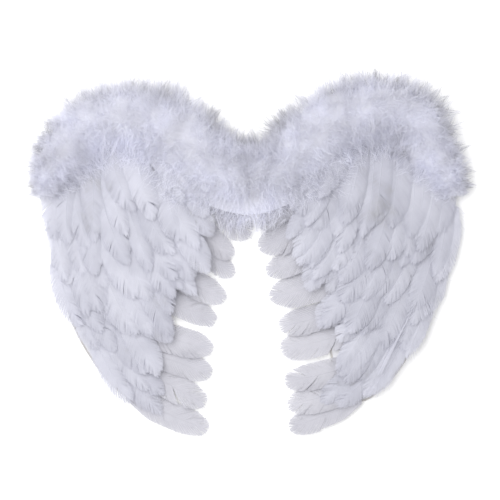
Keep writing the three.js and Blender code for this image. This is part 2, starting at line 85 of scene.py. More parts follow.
# side: which way out is. limits: up, outer, inner. bare: up, out. leans: up, outer, middle, inner, in
# degrees. flights: out, up, lean, long, wide. trim: out, up, half, share of the half that the down fills.
# edge: up, how far outwards a row's first feather is moved, in mm.
WINGS = {
    "left": dict(
        side=-1,
        edge=[(1, 8), (0.75, 9), (0.6, 5), (0.45, 3), (0.36, 0), (0.3, -9), (0.25, -12), (0, -12)],
        limits=[
            (0.93, 0.75, 0), (0.83, 0.87, 0), (0.72, 0.9, 0.02), (0.6, 0.87, 0.05), (0.5, 0.84, 0.09),
            (0.4, 0.81, 0.12), (0.3, 0.74, 0.165), (0.2, 0.64, 0.176), (0.12, 0.52, 0.2),
            (0.05, 0.37, 0.21), (0, 0.3, 0.23),
        ],
        bare=[(0.5, 0.07), (0.42, 0.2), (0.36, 0.3), (0.26, 0.36), (0.2, 0.41), (0.1, 0.46)],
        leans=[
            (0.8, 4, 22, 42), (0.6, 9, 26, 48), (0.4, 24, 34, 55), (0.25, 38, 46, 64), (0.05, 50, 58, 66),
        ],
        flights=[
            (0.014, 0.552, 38, 0.6, 1.05), (0.09, 0.498, 45, 0.72, 0.8), (0.081, 0.45, 52, 0.85, 0.85),
            (0.126, 0.376, 60, 0.9, 0.95), (0.167, 0.318, 63, 0.95, 0.9), (0.18, 0.24, 74, 1, 1),
            (0.185, 0.175, 70, 1, 0.95), (0.212, 0.093, 60, 1.05, 1), (0.203, 0.02, 66, 1.05, 1.1),
        ],
        trim=[
            (-0.08, 0.715, 0.16, 0.8), (0.03, 0.72, 0.165, 0.77), (0.13, 0.742, 0.168, 0.76),
            (0.243, 0.785, 0.175, 0.93), (0.365, 0.84, 0.155, 1), (0.491, 0.868, 0.15, 1),
            (0.626, 0.872, 0.132, 0.95), (0.761, 0.843, 0.12, 0.88), (0.852, 0.784, 0.1, 0.85),
            (0.902, 0.72, 0.075, 0.92), (0.918, 0.66, 0.035, 1),
        ],
    ),
    "right": dict(
        side=1,
        edge=[(1, 8), (0.75, 8), (0.6, 6), (0.45, 4), (0.4, -9), (0.36, -14), (0.3, -14), (0, -12)],
        limits=[
            (0.93, 0.78, 0), (0.83, 0.88, 0), (0.72, 0.95, 0.02), (0.6, 0.93, 0.05), (0.5, 0.9, 0.09),
            (0.4, 0.85, 0.12), (0.3, 0.76, 0.15), (0.2, 0.64, 0.165), (0.12, 0.54, 0.19),
            (0.05, 0.42, 0.2), (0, 0.32, 0.22),
        ],
        bare=[(0.5, 0.07), (0.42, 0.24), (0.36, 0.3), (0.3, 0.32), (0.25, 0.4), (0.1, 0.44)],
        leans=[
            (0.8, 4, 14, 46), (0.6, 8, 24, 58), (0.4, 20, 38, 64), (0.25, 34, 50, 70), (0.05, 48, 60, 68),
        ],
        flights=[
            (0.062, 0.582, 56, 0.55, 0.75), (0.06, 0.52, 64, 0.8, 1), (0.092, 0.455, 66, 0.9, 0.95),
            (0.11, 0.383, 74, 1, 1.1), (0.155, 0.302, 74, 1, 0.95), (0.16, 0.236, 74, 1, 1),
            (0.178, 0.15, 76, 1, 0.95), (0.19, 0.086, 74, 1.05, 1), (0.198, 0.024, 68, 0.92, 1.05),
        ],
        trim=[
            (-0.08, 0.715, 0.16, 0.77), (0.03, 0.72, 0.165, 0.8), (0.13, 0.738, 0.155, 0.72),
            (0.239, 0.782, 0.168, 0.95), (0.365, 0.849, 0.15, 1.05), (0.5, 0.888, 0.152, 0.93),
            (0.644, 0.897, 0.14, 0.9), (0.762, 0.862, 0.122, 0.95), (0.85, 0.79, 0.09, 0.75),
            (0.905, 0.725, 0.07, 0.75), (0.932, 0.66, 0.035, 1),
        ],
    ),
}
for wing in WINGS.values():
    for key in ("limits", "bare", "leans", "edge"):
        wing[key] = np.array(sorted(wing[key]), float)
    wing["trim"] = np.array(wing["trim"], float)

# The solids were moved so that the origin is under their middle: the panel's box says how far.
# PANEL_TOP_UP is how far up the top of the panel's rim reaches, as a share of the height.
PANEL_TOP_UP = 0.9283
panel_lo, panel_hi = (np.array(c) * 1000 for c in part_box("backing_panel"))
SHIFT_X = (panel_lo[0] + panel_hi[0]) / 2
SHIFT_Y = panel_hi[1] - (PANEL_TOP_UP - 0.5) * HEIGHT
PANEL_BACK = STRAP_THICKNESS + SEAT_GAP
PANEL_FACE = PANEL_BACK + PANEL_THICKNESS
FEATHER_FLOOR = max(PANEL_FACE, RIM_DIAMETER) + SEAT_GAP


def layer_height(kind):
    tilt = kind["roll"] * kind["width"]
    return max(tilt, tilt / 2 + kind["crown"] + kind["thickness"])


FLIGHT_LIFT = layer_height(FLIGHT) * WIDEST_FLIGHT + LAYER_GAP
ROW_LIFT = layer_height(COVERT) + LAYER_GAP


def lerp(a, b, t):
    return a + (b - a) * t


def smoothstep(x, lo, hi):
    t = np.clip((x - lo) / (hi - lo), 0, 1)
    return t * t * (3 - 2 * t)


def place(side, out, up):
    return np.stack([side * np.asarray(out, float) * HALF_SPAN, (np.asarray(up, float) - 0.5) * HEIGHT], -1)


def up_of(p):
    return p[..., 1] / HEIGHT + 0.5


def out_of(wing, p):
    return wing["side"] * p[..., 0] / HALF_SPAN


def limits_at(wing, up):
    rows = wing["limits"]
    return np.interp(up, rows[:, 0], rows[:, 1]), np.interp(up, rows[:, 0], rows[:, 2])


def bare_at(wing, p):
    """How far out the flight feathers are bare of coverts at a point's height."""
    return np.interp(up_of(p), *wing["bare"].T)


def across_of(wing, p):
    outer, inner = limits_at(wing, up_of(p))
    return (outer - out_of(wing, p)) / (outer - inner)


def lean_at(wing, across, up):
    rows = wing["leans"]
    outer, middle, inner = (np.interp(up, rows[:, 0], rows[:, k]) for k in (1, 2, 3))
    return lerp(outer, middle, across * 2) if across < 0.5 else lerp(middle, inner, across * 2 - 1)


def row_rise(across):
    share = np.clip(across, 0, 1)
    return ROW_RISE * share**ROW_RISE_POWER - ROW_DIP * (1 - share) ** ROW_DIP_POWER


def rows_down(wing, p):
    return (HEIGHT / 2 - p[..., 1] + row_rise(across_of(wing, p)) - FIRST_ROW_DOWN) / ROW_SPACING


def flight_lift(wing, p):
    rows = rows_down(wing, p)
    share = (rows - ZONE["top_row"]) / (ZONE["last_row"] - ZONE["top_row"])
    edge = lerp(ZONE["top_across"], ZONE["last_across"], share)
    down = smoothstep(rows, ZONE["top_row"] - ZONE["ramp_rows"], ZONE["top_row"])
    inside = smoothstep(across_of(wing, p), edge - ZONE["ramp_across"], edge)
    return FLIGHT_LIFT * down * inside


def row_floor(wing, row, p):
    rows = np.minimum(rows_down(wing, p), ROW_COUNT - 1)
    return FEATHER_FLOOR + flight_lift(wing, p) + ROW_LIFT * np.maximum(0, rows - row)


def smooth_curve(points, shares, closed=False):
    """Points of a centripetal curve through points, at shares of its list."""
    points = np.asarray(points, float)
    count = len(points) if closed else len(points) - 1
    at = np.clip(np.asarray(shares, float), 0, 1) * count
    i = np.minimum(at.astype(int), count - 1)
    t = at - i

    def pick(k):
        if closed:
            return points[k % len(points)]
        inner = points[np.clip(k, 0, len(points) - 1)]
        inner = np.where((k < 0)[:, None], 2 * points[0] - points[1], inner)
        return np.where((k >= len(points))[:, None], 2 * points[-1] - points[-2], inner)

    p0, p1, p2, p3 = pick(i - 1), pick(i), pick(i + 1), pick(i + 2)
    spans = ((p0, p1), (p1, p2), (p2, p3))
    d = [np.maximum(np.linalg.norm(b - a, axis=-1) ** 0.5, 1e-6)[:, None] for a, b in spans]
    m1 = ((p1 - p0) / d[0] - (p2 - p0) / (d[0] + d[1]) + (p2 - p1) / d[1]) * d[1]
    m2 = ((p2 - p1) / d[1] - (p3 - p1) / (d[1] + d[2]) + (p3 - p2) / d[2]) * d[1]
    t = t[:, None]
    c2 = -3 * p1 + 3 * p2 - 2 * m1 - m2
    c3 = 2 * p1 - 2 * p2 + m1 + m2
    return p1 + m1 * t + c2 * t**2 + c3 * t**3


def panel_outline(count):
    right = [place(1, out, up) for out, up in PANEL_OUTLINE]
    left = [place(-1, out, up) for out, up in reversed(PANEL_OUTLINE)]
    ring = [place(1, 0, BRIDGE_TOP), *right, place(1, 0, BRIDGE_BOTTOM), *left]
    return smooth_curve(ring, np.arange(count) / count, closed=True)


OUTLINE_POINTS = 220
OUTLINE = panel_outline(OUTLINE_POINTS)


def on_panel(p):
    a, b = OUTLINE, np.roll(OUTLINE, -1, axis=0)
    crosses = (a[:, 1] > p[1]) != (b[:, 1] > p[1])
    x = (b[:, 0] - a[:, 0]) * (p[1] - a[:, 1]) / np.where(crosses, b[:, 1] - a[:, 1], 1) + a[:, 0]
    return np.count_nonzero(crosses & (p[0] < x)) % 2 == 1


def trim_frame(wing, share):
    """Middle, direction along, direction outward and half width of a wing's trim."""
    share = np.atleast_1d(share)
    points = place(wing["side"], wing["trim"][:, 0], wing["trim"][:, 1])
    p = smooth_curve(points, share)
    step = 1e-3
    after = smooth_curve(points, np.clip(share + step, 0, 1))
    along = after - smooth_curve(points, np.clip(share - step, 0, 1))
    along /= np.linalg.norm(along, axis=1, keepdims=True)
    outward = wing["side"] * np.stack([-along[:, 1], along[:, 0]], 1)
    half = np.interp(share, np.linspace(0, 1, len(points)), wing["trim"][:, 2]) * HALF_SPAN
    return p, along, outward, half


def heading(wing, lean):
    turn = np.radians(lean)
    return np.stack([-wing["side"] * np.sin(turn), -np.cos(turn)], -1)


def row_coverts(wing, row):
    """Quill, lean and length of each covert of a row, as in the solids."""
    centre, _, _, half = trim_frame(wing, np.linspace(0, 1, 29))
    coverts, since, last = [], COVERT_SPACING, None
    for across in np.linspace(0, 1, 301):
        up = 1 - (FIRST_ROW_DOWN + row * ROW_SPACING - row_rise(across)) / HEIGHT
        outer, inner = limits_at(wing, up)
        p = place(wing["side"], lerp(outer, inner, across), up)
        if last is not None:
            since += np.linalg.norm(p - last)
        last = p
        hidden = np.any(np.linalg.norm(centre - p, axis=1) < half * TRIM_TUCK)
        if since < COVERT_SPACING or hidden or not on_panel(p):
            continue
        lean = lean_at(wing, across_of(wing, p), up_of(p))
        for length in np.arange(COVERT["length"], SHORTEST_COVERT - 1, -COVERT_TRIM_STEP):
            tip = p + heading(wing, lean) * length
            covers = out_of(wing, tip) > bare_at(wing, tip) and up_of(tip) > COVERT_UP_LIMIT
            if covers and across_of(wing, tip) < COVERT_ACROSS_LIMIT:
                coverts.append((p, lean, length))
                since = 0
                break
    return coverts


# Meshes


class Strips:
    """Gathers ribbons of quads, in millimetres of the design frame, into one mesh."""

    def __init__(self):
        self.points, self.quads, self.tones, self.lines, self.count = [], [], [], [], 0

    def add(self, a, b, tone, line=None):
        """Ribbons between the polylines a and b, both (ribbons, points, 3).

        The tone is each ribbon's own, and line counts across the ribbons for the barbs' fine grooves.
        """
        ribbons, steps = a.shape[:2]
        points = np.stack([a, b], 2).reshape(-1, 3)
        base = self.count + np.arange(ribbons)[:, None] * steps * 2 + np.arange(steps - 1)[None] * 2
        quads = np.stack([base, base + 1, base + 3, base + 2], -1).reshape(-1, 4)
        self.points.append(points)
        self.quads.append(quads)
        corners = (ribbons, steps, 2)
        tone = np.asarray(tone, float)[:, None, None]
        self.tones.append(np.broadcast_to(tone, corners).reshape(-1))
        line = np.zeros((ribbons, 2)) if line is None else line
        self.lines.append(np.broadcast_to(line[:, None, :], corners).reshape(-1))
        self.count += len(points)

    def make(self, name, material):
        return mesh_object(
            name,
            np.concatenate(self.points),
            np.concatenate(self.quads),
            material,
            dict(tone=np.concatenate(self.tones), line=np.concatenate(self.lines)),
        )


def mesh_object(name, points, faces, material, attributes=None, smooth=True):
    """A mesh of faces that all have as many corners, from points in mm of the design frame."""
    mesh = bpy.data.meshes.new(name)
    world = (points + np.array([SHIFT_X, SHIFT_Y, 0.0])) * 0.001
    faces = np.asarray(faces, np.int32)
    corners = faces.shape[1]
    mesh.vertices.add(len(world))
    mesh.vertices.foreach_set("co", world.astype(np.float32).ravel())
    mesh.loops.add(faces.size)
    mesh.loops.foreach_set("vertex_index", faces.ravel())
    mesh.polygons.add(len(faces))
    mesh.polygons.foreach_set("loop_start", np.arange(len(faces), dtype=np.int32) * corners)
    mesh.update(calc_edges=True)
    mesh.polygons.foreach_set("use_smooth", np.full(len(faces), smooth))
    for key, values in (attributes or {}).items():
        mesh.attributes.new(key, "FLOAT", "POINT").data.foreach_set("value", values.astype(np.float32))
    mesh.materials.append(material)
    obj = bpy.data.objects.new(name, mesh)
    bpy.context.scene.collection.objects.link(obj)
    return obj


# Feathers

# Barbs are drawn at these shares from the shaft, 0, to the vane's edge, 1, and thin out by these shares.
BARB_SHARES = np.array([0.0, 0.45, 0.8, 1.0])
BARB_THINS = np.array([0.0, 0.0, 0.15, 1.0])
# A vane's width at its quill, and where along it is full and starts to round off, as shares
VANE_ROOT, VANE_FULL, VANE_ROUNDS = 0.36, 0.42, 0.66
# A barb's angle to the shaft in degrees, by its root's share of the shaft
BARB_ANGLE = np.array([(0, 62), (0.3, 50), (0.6, 42), (0.85, 30), (1, 12)])
# Above 1, barbs bend towards the tip on their way out.
BARB_CURVE = 1.25
SHAFT_SHARE = 0.95
SHAFT_THICK = (1.3, 0.3)
SPINE_STEPS = 40
FIRST_BARB = 0.04
BISECTIONS = 14

# A vane splits into stretches of barbs: where, how far each turns in degrees, how many stand open
# and by how much more, and how the stretches differ in height (mm) and length (share).
SPLIT_RANGE = (0.35, 0.99)
SPLIT_TURN, OPEN_SPLITS, OPEN_MORE = 1.7, 0.2, 3.2
SPLIT_LIFT, SPLIT_LENGTH = 0.2, 0.04
# How single barbs differ in turn and length, how much more at a ragged tip, and which are frayed
BARB_TURN, BARB_LENGTH, RAGGED_MORE = 0.35, 0.013, 3.0
FRAYED, RAGGED_FRAYED = 0.03, 0.1
FRAYED_LENGTH = (0.75, 0.95)

# Wisps past a vane's edge: share of the barbs without them, turn in radians, rise, length in mm
WISP_FREE = 0.15
WISP_TURN, WISP_BEND = 0.22, 0.22
WISP_RISE, WISP_LENGTH = (-0.5, 1.6), (4.5, 10)
WISP_HALF_WIDTH = 0.22
WISP_FLOOR = 0.6

# Loose barbs near the quill: where they start, angle in degrees, width in mm
LOOSE_ROOTS = (0.0, 0.3)
LOOSE_ANGLES = (35, 80)
LOOSE_WIDTH = 0.45

# How much feathers, and the barbs of one, differ in tone
FEATHER_TONE, BARB_TONE, LOOSE_TONE, SHAFT_TONE = 0.4, 0.14, 0.3, 0.6


def vane_share(along, roundness):
    """Half width of a vane at a share of its length, as a share of its widest half."""
    rise = lerp(VANE_ROOT, 1, smoothstep(along, 0.0, VANE_FULL))
    end = np.clip((along - VANE_ROUNDS) / (1 - VANE_ROUNDS), 0, 1)
    return rise * np.maximum(1 - end**2, 0) ** roundness


class Spine:
    """A feather's shaft, from its quill, turning towards the middle."""

    def __init__(self, wing, quill, lean, length, bend):
        self.t = np.linspace(0, 1, SPINE_STEPS + 1)
        turn = np.radians(lean + bend * (self.t - 0.5)) * wing["side"]
        self.tangents = np.stack([-np.sin(turn), -np.cos(turn)], 1)
        steps = (self.tangents[1:] + self.tangents[:-1]) / 2 * length / SPINE_STEPS
        self.points = np.concatenate([[quill], quill + np.cumsum(steps, 0)])

    def at(self, t):
        """Points, directions along and directions across at shares of the shaft."""
        point = np.stack([np.interp(t, self.t, self.points[:, k]) for k in (0, 1)], -1)
        tangent = np.stack([np.interp(t, self.t, self.tangents[:, k]) for k in (0, 1)], -1)
        tangent /= np.linalg.norm(tangent, axis=-1, keepdims=True)
        return point, tangent, np.stack([-tangent[:, 1], tangent[:, 0]], 1)


def vane_surface(spec, tilt, floor):
    """The height of a vane at points, for shares along it and mm across it from the shaft."""
    width = spec["width"]

    def surface(point, along, across):
        share = np.clip(2 * across / width, -1.2, 1.2)
        z = floor(point) + spec["roll"] * width / 2 + tilt * across
        z = z + spec["crown"] * (1 - share**2)
        z = z + spec["arch"] * np.sin(np.pi * np.clip(along, 0, 1))
        return z + spec["curl"] * along**3

    return surface


def barb_changes(rng, spec, roots):
    """How much each barb of one half of a vane turns (degrees), lifts (mm) and is longer (factor)."""
    cuts = np.sort(rng.uniform(*SPLIT_RANGE, rng.poisson(spec["splits"])))
    stretches = len(cuts) + 1
    of = np.searchsorted(cuts, roots)
    ragged = smoothstep(roots, 0.5, 1) * spec["ragged"]
    more = 1 + RAGGED_MORE * ragged
    stands_open = rng.uniform(size=stretches) < OPEN_SPLITS
    turn = (rng.normal(0, SPLIT_TURN, stretches) * np.where(stands_open, OPEN_MORE, 1))[of]
    turn = turn + rng.normal(0, BARB_TURN, len(roots)) * more
    lift = rng.normal(0, SPLIT_LIFT, stretches)[of]
    long = 1 + rng.normal(0, SPLIT_LENGTH, stretches)[of]
    long = long * (1 + rng.normal(0, BARB_LENGTH, len(roots)) * more)
    frayed = rng.uniform(size=len(roots)) < FRAYED + RAGGED_FRAYED * ragged
    long[frayed] *= rng.uniform(*FRAYED_LENGTH, frayed.sum())
    return turn, lift, long


def barb_reach(spec, root, angle):
    """How far barbs reach from their roots to the outline of the vane, found by halving."""
    short, reach = np.zeros(len(root)), np.full(len(root), spec["width"] * 3)
    for _ in range(BISECTIONS):
        middle = (short + reach) / 2
        end = root * SHAFT_SHARE + middle * np.cos(angle) / spec["length"]
        inside = middle * np.sin(angle) < vane_share(end, spec["roundness"]) * spec["width"] / 2
        short, reach = np.where(inside, middle, short), np.where(inside, reach, middle)
    return short


def add_half_vane(strips, rng, spec, spine, surface, hand, tone):
    """Adds the barbs on one hand of the shaft, side by side, and gives back one edge of each."""
    t = np.linspace(FIRST_BARB, 1, spec["barbs"] + 1)
    turn, lift, long = barb_changes(rng, spec, (t[:-1] + t[1:]) / 2)

    def edge(root):
        point, tangent, across = spine.at(root)
        angle = np.radians(np.interp(root, BARB_ANGLE[:, 0], BARB_ANGLE[:, 1]) + turn)
        reach = barb_reach(spec, root, angle) * long
        out = across * hand
        aside = (reach * np.sin(angle))[:, None] * BARB_SHARES
        ahead = (reach * np.cos(angle))[:, None] * BARB_SHARES**BARB_CURVE
        p = point[:, None] + out[:, None] * aside[..., None] + tangent[:, None] * ahead[..., None]
        along = root[:, None] * SHAFT_SHARE + ahead / spec["length"]
        z = surface(p, along, aside * hand) + lift[:, None] * BARB_SHARES
        return np.concatenate([p, z[..., None]], 2)

    near, far = edge(t[:-1]), edge(t[1:])
    far = far + (near - far) * spec["thin"] * BARB_THINS[None, :, None]
    line = np.stack([np.arange(spec["barbs"]), np.arange(spec["barbs"]) + 1.0], 1)
    strips.add(near, far, tone + rng.normal(0, BARB_TONE, spec["barbs"]), line)
    return near


def add_wisps(strips, rng, barbs, count, tone):
    """Loose barb ends past the edge of a vane, whose barbs are given from root to end."""
    pick = rng.integers(int(len(barbs) * WISP_FREE), len(barbs), count)
    start = barbs[pick, -2]
    way = barbs[pick, -1] - barbs[pick, 0]
    turn = rng.normal(0, WISP_TURN, count)
    way = np.stack(
        [
            way[:, 0] * np.cos(turn) - way[:, 1] * np.sin(turn),
            way[:, 0] * np.sin(turn) + way[:, 1] * np.cos(turn),
            way[:, 2] * 0.3 + rng.uniform(*WISP_RISE, count),
        ],
        1,
    )
    way /= np.linalg.norm(way, axis=1, keepdims=True)
    far = rng.uniform(*WISP_LENGTH, count)[:, None, None]
    s = np.linspace(0, 1, 4)[None, :, None]
    bend = rng.normal(0, WISP_BEND, (count, 1, 3))
    path = start[:, None] + way[:, None] * far * s + bend * far * s**2
    path[..., 2] = np.maximum(path[..., 2], WISP_FLOOR)
    flat = np.stack([-way[:, 1], way[:, 0], np.zeros(count)], 1)[:, None]
    half = flat * WISP_HALF_WIDTH * (1 - 0.7 * s)
    strips.add(path - half, path + half, np.full(count, tone))


def add_loose_barbs(strips, rng, spec, spine, surface, tone):
    """Soft single barbs on both hands of the shaft, near its quill."""
    count = 2 * spec["loose"]
    root = rng.uniform(*LOOSE_ROOTS, count)
    hand = np.where(np.arange(count) % 2, 1, -1)
    point, tangent, across = spine.at(root)
    angle = np.radians(rng.uniform(*LOOSE_ANGLES, count))
    way = across * hand[:, None] * np.sin(angle)[:, None] + tangent * np.cos(angle)[:, None]
    far = spec["width"] / 2 * rng.uniform(0.7, spec["fluff"], count)
    s = np.linspace(0, 1, 4)[None, :, None]
    p = point[:, None] + way[:, None] * far[:, None, None] * s
    p = p + (tangent * rng.normal(0.3, 0.25, count)[:, None])[:, None] * far[:, None, None] * s**2
    z = surface(p, root[:, None] + s[..., 0] * 0.1, 0 * s[..., 0])
    z = z + rng.uniform(0.2, 1.6, count)[:, None] * s[..., 0]
    near = np.concatenate([p, z[..., None]], 2)
    flat = np.concatenate([tangent, np.zeros((count, 1))], 1)[:, None]
    strips.add(near, near + flat * (LOOSE_WIDTH * (1.05 - s)), np.full(count, tone + LOOSE_TONE))


def add_shaft(strips, spine, surface, tone):
    """Two ribbons that meet in a ridge along the shaft."""
    t = np.linspace(0, 0.97, 13)
    point, _, across = spine.at(t)
    thick = lerp(*SHAFT_THICK, t)[:, None]
    z = surface(point, t, 0 * t) + 0.05
    left = np.concatenate([point - across * thick / 2, z[:, None]], 1)
    right = np.concatenate([point + across * thick / 2, z[:, None]], 1)
    ridge = np.concatenate([point, z[:, None] + thick * 0.3], 1)
    strips.add(np.stack([left, ridge]), np.stack([ridge, right]), np.full(2, SHAFT_TONE) + tone)


def add_feather(strips, rng, wing, spec, floor):
    spine = Spine(wing, spec["quill"], spec["lean"], spec["length"] * SHAFT_SHARE, spec["bend"])
    tone = rng.normal(0, FEATHER_TONE)
    tilt = spec["roll"] * wing["side"] + rng.normal(0, 0.02)
    surface = vane_surface(spec, tilt, floor)
    for hand in (-1, 1):
        barbs = add_half_vane(strips, rng, spec, spine, surface, hand, tone)
        wisps = spec["wisps"] if hand * wing["side"] > 0 else spec["inner_wisps"]
        add_wisps(strips, rng, barbs, wisps, tone)
    if spec["loose"]:
        add_loose_barbs(strips, rng, spec, spine, surface, tone)
    add_shaft(strips, spine, surface, tone)


COVERT_BARBS = 110
FLIGHT_BARBS = 140

# How far a covert's tip may lie past that of its solid, in mm, how much wider than the solids most
# flight feathers are, and how far past the solids' quills they start, in mm
LONGEST_PAST = 14
FLIGHT_WIDER = 1.2
FLIGHT_PAST = 5


def covert_piece(name, wing, row, material):
    """A row's coverts, with a looser feather over each gap between two of them."""
    rng = np.random.default_rng(1000 + 10 * row + (wing["side"] > 0))
    strips = Strips()
    coverts = row_coverts(wing, row)
    between = [
        ((a[0] + b[0]) / 2, (a[1] + b[1]) / 2, (a[2] + b[2]) / 2 * rng.uniform(0.9, 1.1))
        for a, b in zip(coverts, coverts[1:])
    ]
    for i, (quill, lean, length) in enumerate([*coverts, *between]):
        over = i >= len(coverts)
        edge = i == 0
        lean = lean + rng.normal(0, 3 if edge else 6)
        long = length * rng.uniform(0.9, 1.12)
        slide = rng.normal(0, 3 if edge else 8)
        shift = np.interp(up_of(quill), *wing["edge"].T) * max(0, 1 - 0.5 * (i % len(coverts)))
        quill = quill + heading(wing, lean) * slide + rng.normal(0, 1.5, 2)
        spec = dict(
            quill=quill + np.array([wing["side"] * shift, 0]),
            lean=lean,
            length=min(long, length + LONGEST_PAST - slide),
            width=COVERT["width"] * rng.uniform(0.75, 1.0 if over or edge else 1.25),
            bend=COVERT["bend"] + rng.normal(4, 10),
            crown=0.7 + 2.2 * rng.uniform() ** 2,
            roll=COVERT["roll"] * 1.4,
            arch=rng.uniform(0.0, 1.2),
            curl=rng.normal(0.2, 1.2),
            roundness=rng.uniform(0.55, 1.2),
            barbs=COVERT_BARBS,
            splits=3.2,
            ragged=1.3 if edge else 0.8,
            thin=0.6 if edge else 0.35,
            loose=34 if edge else 9,
            fluff=2.0 if edge else 1.25,
            wisps=16 if edge else 4,
            inner_wisps=4,
        )
        add_feather(strips, rng, wing, spec, lambda p: row_floor(wing, row, p))
    return strips.make(name, material)


def flight_piece(name, wing, i, material):
    out, up, lean, long, wide = wing["flights"][i]
    rng = np.random.default_rng(2000 + 20 * i + (wing["side"] > 0))
    length = FLIGHT["length"] * long
    wider = FLIGHT_WIDER if i < len(wing["flights"]) - 1 else 1
    spec = dict(
        quill=place(wing["side"], out, up) - heading(wing, lean) * (length - FLIGHT_PAST),
        lean=lean,
        length=length,
        width=FLIGHT["width"] * wide * wider,
        bend=FLIGHT["bend"],
        crown=0.9,
        roll=FLIGHT["roll"],
        arch=0.0,
        curl=rng.normal(0.3, 0.5),
        roundness=rng.uniform(0.36, 0.5),
        barbs=FLIGHT_BARBS,
        splits=3.0,
        ragged=0.3,
        thin=0.1,
        loose=0,
        fluff=1.0,
        wisps=4,
        inner_wisps=5,
    )
    strips = Strips()
    add_feather(strips, rng, wing, spec, lambda p: np.full(p.shape[:-1], FEATHER_FLOOR))
    return strips.make(name, material)


# Down trim

# The body reaches this far down over the feathers, as a share of the half width, and more at its ends.
INNER_REACH, END_REACH = 1.2, 0.5
# It is full size where its half width is this share of the half span, and shrinks to a least size.
FULL_HALF, LEAST_SIZE = 0.12, 0.35
# How much the down's edge goes in and out with its clumps, as a share of the half width
CLUMP_DEPTH = 0.045
# The body stays this far above the coverts' surface, in mm.
TOP_CLEARANCE = 2.5
CORE_ROWS, CORE_COLUMNS = 90, 28
CORE_FROM = 0.05
CORE_TURNS = (-25, 172)
CORE_TONE = 0.2
CORE_SWELL = 0.84

# Tufts: where they start along and round the body, in shares and degrees, their length in mm, how
# much longer the outer ones are, how far apart their strands start, and how many strands and tufts
TUFTS_FROM = 0.06
TUFT_TURNS = (-15, 180)
TUFT_LENGTH, OUTER_LENGTH = (9, 17), (2, 9)
TUFT_SPREAD = 4.0
TUFT_STRANDS, TUFTS = ((12, 2250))
STRAND_WIDTH = 0.42
# Strands stay above the ground, and bend where they pass the top or the wings' middle, in mm.
STRAND_FLOOR = 1.5
TUFT_TOP, TOP_BEND = 47.0, 6
MIDDLE_BEND = 8

# Long stray tufts: side, out, up, lean in degrees from up towards +X, length in mm, number, tone, which is
# very low for the strays along the top and outer edge to paint their shade grey, and a little low for those
# that hang at the bottom middle
STRAY_STRANDS, STRAY_WIDTH = 4, 0.7
STRAYS = [
    (1, 0.16, 0.83, -52, 46, 10, -2.4), (1, 0.175, 0.845, -30, 44, 9, -2.4), (1, 0.14, 0.81, -14, 30, 5, -2),
    (1, 0.387, 0.93, -12, 22, 6, -2), (1, 0.567, 0.97, 0, 22, 7, -2), (1, 0.66, 0.955, 12, 22, 6, -2),
    (1, 0.84, 0.895, 24, 22, 6, -2), (1, 0.93, 0.786, 70, 20, 5, -2), (1, 0.96, 0.7, 85, 16, 5, -2),
    (1, 0.02, 0.61, 170, 24, 7, -0.3), (1, 0.07, 0.605, 195, 28, 7, -0.3), (1, 0.12, 0.6, 215, 24, 6, -0.3),
    (-1, 0.03, 0.605, 200, 22, 6, -0.3), (-1, 0.07, 0.6, 175, 34, 8, -0.3),
    (-1, 0.12, 0.6, 160, 22, 6, -0.3), (-1, 0.375, 0.92, 30, 28, 7, -2), (-1, 0.3, 0.885, 45, 26, 7, -2),
    (-1, 0.25, 0.865, 55, 22, 6, -2), (-1, 0.536, 0.945, 5, 22, 6, -2), (-1, 0.86, 0.85, -45, 26, 5, -2),
    (-1, 0.95, 0.744, -85, 20, 6, -2),
]


def size_at(half):
    return np.minimum(1, LEAST_SIZE + (1 - LEAST_SIZE) * half / (FULL_HALF * HALF_SPAN))


def fill_at(wing, share):
    """How much of its half width the down fills: the table's share, in clumps a few centimetres long."""
    clumps = np.sin(share * 131 + 2 * wing["side"]) + 0.7 * np.sin(share * 217 + wing["side"])
    rows = np.linspace(0, 1, len(wing["trim"]))
    return np.interp(share, rows, wing["trim"][:, 3]) + CLUMP_DEPTH * clumps


def trim_point(wing, share, turn, swell):
    """A point of the trim's body and its normal, for a turn in degrees from its outer side over its top.

    The outer side is round, and from 90 to 180 the body slopes down to the feathers.
    """
    p, along, outward, half = trim_frame(wing, share)
    height = TRIM_HEIGHT * size_at(half) * swell
    t = np.radians(np.minimum(turn, 90))
    down = np.clip(turn / 90 - 1, 0, 1)
    inner_reach = INNER_REACH + END_REACH * smoothstep(share, 0.6, 0.85)
    reach = np.where(turn < 90, np.cos(t) * swell * fill_at(wing, share), -inner_reach * down)
    z = np.where(turn < 90, height / 2 * (1 + np.sin(t)), height * (1 + np.cos(np.pi * down)) / 2)
    push = np.where(turn < 90, height / 2 * np.cos(t), -height * np.pi / 2 * np.sin(np.pi * down))
    rise = np.where(turn < 90, half * np.sin(t), inner_reach * half)
    xy = p + outward * (reach * half)[:, None]
    rows = np.clip(rows_down(wing, xy), 0, 2)
    cover = FEATHER_FLOOR + flight_lift(wing, xy) + ROW_LIFT * rows + TOP_CLEARANCE
    over_feathers = np.maximum(FEATHER_FLOOR + z, np.minimum(cover, FEATHER_FLOOR + height))
    z = np.where(turn > 90, over_feathers, FEATHER_FLOOR + z)
    normal = np.concatenate([outward * push[:, None], rise[:, None]], 1)
    normal /= np.linalg.norm(normal, axis=1, keepdims=True)
    return np.concatenate([xy, z[:, None]], 1), normal, along, outward, half


def trim_core(wing, strips):
    """The lumpy body under the tufts, from below its outer side over its top to the feathers."""
    share = np.repeat(np.linspace(CORE_FROM, 1, CORE_ROWS), CORE_COLUMNS)
    turn = np.tile(np.linspace(*CORE_TURNS, CORE_COLUMNS), CORE_ROWS)
    swell = CORE_SWELL + 0.03 * np.sin(share * 41 + wing["side"] + turn / 26)
    swell = swell + 0.02 * np.sin(share * 97 + turn / 11)
    point, *_ = trim_point(wing, share, turn, swell)
    point[:, 0] = wing["side"] * np.maximum(wing["side"] * point[:, 0], SEAT_GAP)
    grid = point.reshape(CORE_ROWS, CORE_COLUMNS, 3)
    strips.add(grid[:-1], grid[1:], np.full(CORE_ROWS - 1, CORE_TONE))


